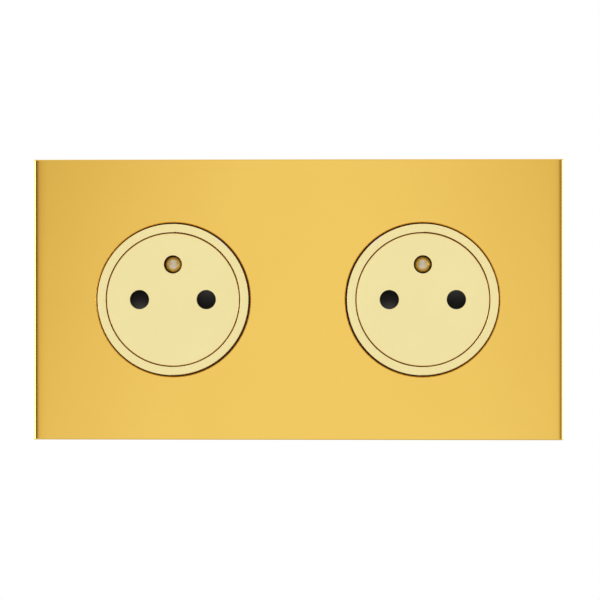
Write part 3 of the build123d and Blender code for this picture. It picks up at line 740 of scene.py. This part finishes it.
def mirrored_studio(tree):
    """Light that polished surfaces mirror, by direction."""
    x, y, z = split(tree, add_node(tree, "ShaderNodeTexCoord").outputs["Generated"])
    turn = math_node(tree, "ARCTAN2", x, math_node(tree, "MULTIPLY", y, -1.0))
    aside = math_node(tree, "ABSOLUTE", math_node(tree, "SUBTRACT", turn, math.radians(CARD_SHIFT)))
    height = math_node(tree, "ARCSINE", z)
    rise = math_node(tree, "ABSOLUTE", height)
    near = within(tree, aside, CORNER_ASIDE)
    ahead = math_node(tree, "MULTIPLY", near, within(tree, rise, CORNER_HEIGHT))
    corner = mix_colours(tree, ahead, light_panels(tree, aside, height), white_card(tree, aside, height))
    light = add_node(tree, "ShaderNodeVectorMath", operation="MULTIPLY_ADD")
    tree.links.new(strip_lamps(tree, turn, rise), light.inputs[0])
    light.inputs[1].default_value = STRIP_COLOUR
    tree.links.new(corner, light.inputs[2])
    return light.outputs[0]


def studio_world():
    """White for the eye, even soft light for matt surfaces, and the studio for mirrors."""
    world = bpy.data.worlds.new("studio")
    scene.world = world
    world.use_nodes = True
    tree = world.node_tree
    tree.nodes.clear()
    reflection = add_node(tree, "ShaderNodeBackground")
    tree.links.new(mirrored_studio(tree), reflection.inputs["Color"])
    soft = add_node(tree, "ShaderNodeBackground", Color=WHITE, Strength=ROOM_STRENGTH)
    white = add_node(tree, "ShaderNodeBackground", Color=WHITE, Strength=1.0)
    path = add_node(tree, "ShaderNodeLightPath").outputs
    lit = mix_shaders(tree, path["Is Glossy Ray"], soft.outputs[0], reflection.outputs[0])
    seen = math_node(tree, "MAXIMUM", path["Is Camera Ray"], path["Is Transmission Ray"])
    shown = mix_shaders(tree, seen, lit, white.outputs[0])
    tree.links.new(shown, add_node(tree, "ShaderNodeOutputWorld").inputs["Surface"])


def key_lamp():
    """Large soft lamp above and in front."""
    data = bpy.data.lights.new("key", "AREA")
    data.size = KEY_SIZE
    data.energy = KEY_WATTS
    lamp = new_object("key", data)
    lamp.location = KEY_PLACE
    lamp.rotation_euler = (-Vector(KEY_PLACE)).to_track_quat("-Z", "Y").to_euler()
    lamp.visible_glossy = False


def floor():
    """Plain pale floor below the socket that runs out into white."""
    half = FLOOR_SIZE / 2
    level = cad_box[0].z - FLOOR_DROP
    corners = [(-half, -half, level), (half, -half, level), (half, half, level), (-half, half, level)]
    ground = new_mesh("floor", corners, [(0, 1, 2, 3)], floor_paint(level))


def floor_paint(level):
    """Matt white paint; far from the socket it shines white, and in mirrors it glows, with painted shade
    near the socket.
    """
    material, tree, shader = surface("floor", Roughness=FLOOR_ROUGHNESS)
    tone = tone_over(tree, noise(tree, **FLOOR_CLOUDS), FLOOR_TONES)
    tree.links.new(tone, shader.inputs["Base Color"])
    away = add_node(tree, "ShaderNodeVectorMath", operation="DISTANCE")
    tree.links.new(object_place(tree), away.inputs[0])
    away.inputs[1].default_value = (0.0, 0.0, level)
    far = remap(tree, away.outputs["Value"], *FLOOR_FADE, smooth=True)
    path = add_node(tree, "ShaderNodeLightPath").outputs
    mirrored = math_node(tree, "MAXIMUM", path["Is Glossy Ray"], path["Is Transmission Ray"])
    seen = math_node(tree, "SUBTRACT", 1.0, mirrored)
    # Painted shade: in mirrors the floor glows dimmer near the socket and white far off
    glow = math_node(tree, "ADD", remap(tree, far, 0.0, 1.0, *FLOOR_MIRROR_GLOW_PAINTED_SHADE), seen)
    white = add_node(tree, "ShaderNodeEmission", Color=WHITE)
    tree.links.new(math_node(tree, "MINIMUM", glow, 1.0), white.inputs["Strength"])
    lit = math_node(tree, "MAXIMUM", mirrored, far)
    shown = mix_shaders(tree, lit, shader.outputs["BSDF"], white.outputs["Emission"])
    tree.links.new(shown, tree.nodes["Material Output"].inputs["Surface"])
    return material


scene.view_settings.view_transform = "Standard"
materials = finishes()
dress_nodes(materials)
break_edges()
for side in SIDES:
    return_spring(side, materials["spring_steel"])
    shutter_spring(side, materials["spring_steel"])
    earth_pin(side, materials["nickel"])
camera()
studio_world()
key_lamp()
floor()
